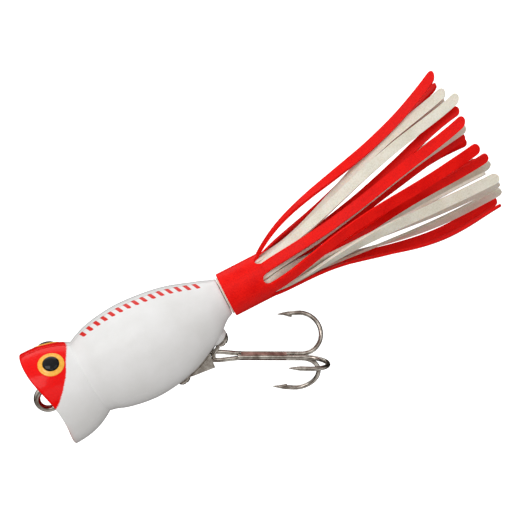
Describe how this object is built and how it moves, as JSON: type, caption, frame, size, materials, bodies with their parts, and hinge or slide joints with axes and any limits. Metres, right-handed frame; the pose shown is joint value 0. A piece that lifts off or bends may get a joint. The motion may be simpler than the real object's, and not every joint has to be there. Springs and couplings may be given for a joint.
{
  "type": "topwater fishing lure",
  "caption": "Topwater popper: hollow cup-faced float with a screw-eye line tie, a belly hanger carrying a swinging treble hook, and a slit rubber tail skirt pushed on a stud.",
  "frame": {"origin": "centre of the line tie's eye", "axes": "+X from the mouth to the tail, +Z to the lure's back, +Y to its left side; the body's seam lies in the XZ plane"},
  "size_m": [0.1096, 0.02, 0.0543],
  "materials": {
    "gloss_white_plastic": "moulded shell, painted and clear coated",
    "yellow_iris": "gloss",
    "black_pupil": "high gloss",
    "nickel_plate": "nickel plated steel wire and sheet",
    "copper_braze": "dull brazing metal",
    "red_rubber": "satin, fine speckle",
    "white_rubber": "satin, slightly translucent"
  },
  "bodies": {
    "lure_body": {"body_shell_left": "gloss_white_plastic", "body_shell_right": "gloss_white_plastic", "eye_iris_left": "yellow_iris", "eye_iris_right": "yellow_iris", "eye_pupil_left": "black_pupil", "eye_pupil_right": "black_pupil", "line_tie": "nickel_plate", "hanger_guard": "nickel_plate", "hanger_bail": "nickel_plate", "hanger_screw_front": "nickel_plate", "hanger_screw_rear": "nickel_plate"},
    "treble_hook": {"hook_double": "nickel_plate", "hook_single": "nickel_plate", "hook_braze": "copper_braze"},
    "skirt": {"skirt_outer": "red_rubber", "skirt_middle": "white_rubber", "skirt_inner": "red_rubber"}
  },
  "joints": [
    {"name": "hook_swing", "type": "hinge", "parent": "lure_body", "child": "treble_hook", "pos_m": [0.03515, 0, -0.00892], "axis": [0, 1, 0], "range_deg": [-26, 76]},
    {"name": "skirt_pull_off", "type": "slide", "parent": "lure_body", "child": "skirt", "axis": [1, 0, 0], "range_m": [0, 0.007]}
  ]
}
